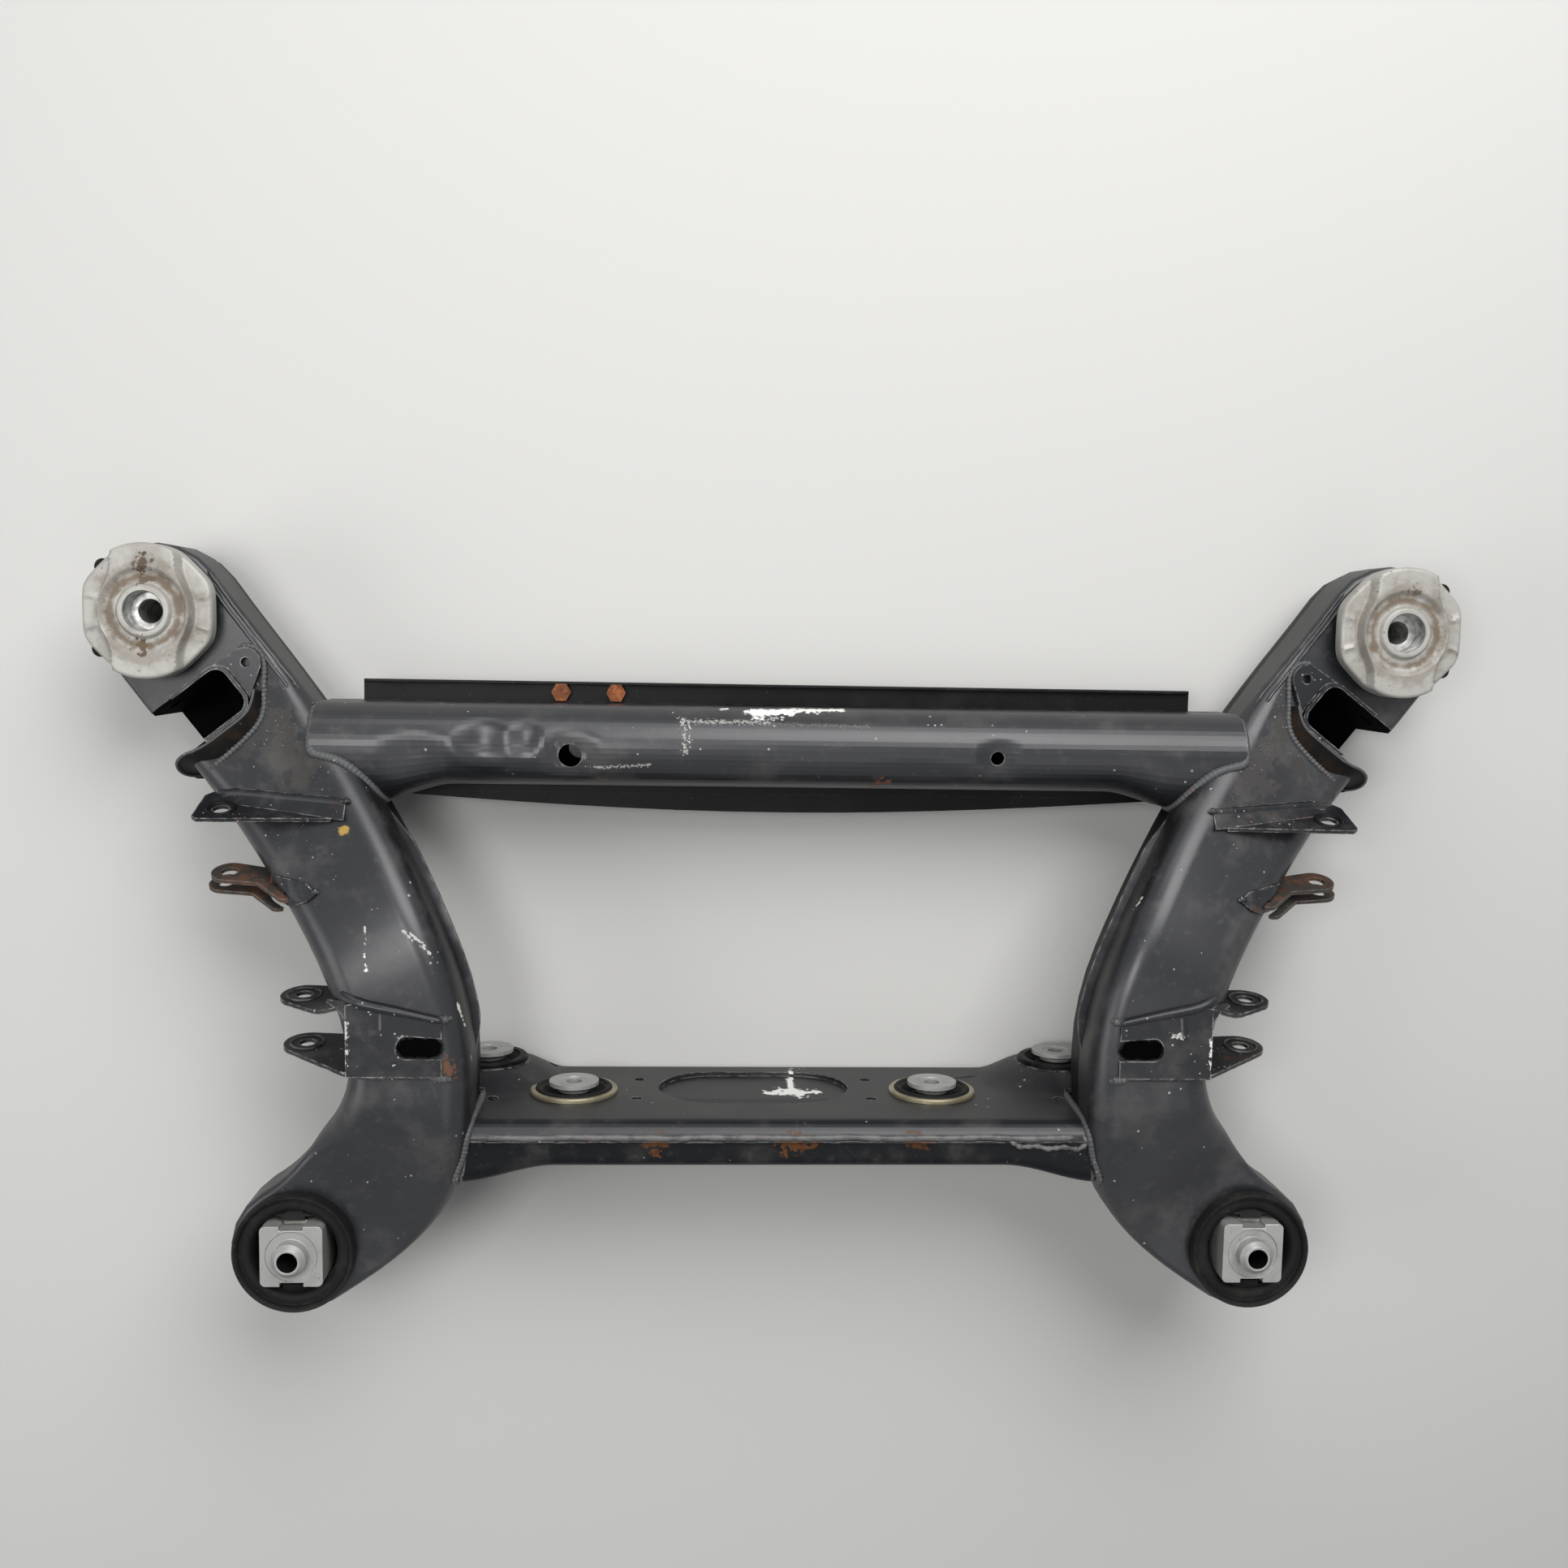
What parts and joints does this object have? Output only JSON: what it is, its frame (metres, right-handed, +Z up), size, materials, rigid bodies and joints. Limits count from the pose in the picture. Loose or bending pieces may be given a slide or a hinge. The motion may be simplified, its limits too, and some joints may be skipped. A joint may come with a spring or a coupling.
{
  "type": "rear axle subframe",
  "caption": "Pressed steel rear subframe: bowed side members, a tube crossmember, a flat box crossmember, rubber body bushes and link brackets.",
  "frame": {"origin": "centre of the overall box, on the floor that the part stands on", "axes": "+X across the car, +Y along it towards the wide end, +Z up"},
  "size_m": [1.02, 0.5599, 0.1752],
  "materials": {
    "paint": "satin",
    "cast_alu": "cast, dull",
    "rubber": "matte",
    "yellow_zinc": "zinc plated",
    "rusty_steel": "rusted"
  },
  "bodies": {
    "root": {"side_member_upper_left": "paint", "side_member_upper_right": "paint", "side_member_lower_left": "paint", "side_member_lower_right": "paint", "wide_crossmember_upper": "paint", "wide_crossmember_lower": "paint", "narrow_crossmember_face": "paint", "narrow_crossmember_cover": "paint", "wide_bush_sleeve_left": "paint", "wide_bush_sleeve_right": "paint", "wide_bush_rubber_left": "rubber", "wide_bush_rubber_right": "rubber", "wide_bush_core_left": "cast_alu", "wide_bush_core_right": "cast_alu", "stop_plate_left": "cast_alu", "stop_plate_right": "cast_alu", "narrow_bush_sleeve_left": "paint", "narrow_bush_sleeve_right": "paint", "narrow_bush_rubber_left": "rubber", "narrow_bush_rubber_right": "rubber", "narrow_bush_core_left": "cast_alu", "narrow_bush_core_right": "cast_alu", "inner_bush_ring_left": "yellow_zinc", "inner_bush_ring_right": "yellow_zinc", "inner_bush_rubber_left": "rubber", "inner_bush_rubber_right": "rubber", "inner_bush_core_left": "cast_alu", "inner_bush_core_right": "cast_alu", "outer_bush_ring_left": "yellow_zinc", "outer_bush_ring_right": "yellow_zinc", "outer_bush_rubber_left": "rubber", "outer_bush_rubber_right": "rubber", "outer_bush_core_left": "cast_alu", "outer_bush_core_right": "cast_alu", "channel_bracket_left": "paint", "channel_bracket_right": "paint", "tab_bracket_left": "paint", "tab_bracket_right": "paint", "ear_bracket_left": "rusty_steel", "ear_bracket_right": "rusty_steel", "fork_bracket_left": "paint", "fork_bracket_right": "paint", "flange_bolts": "rusty_steel"}
  },
  "joints": []
}
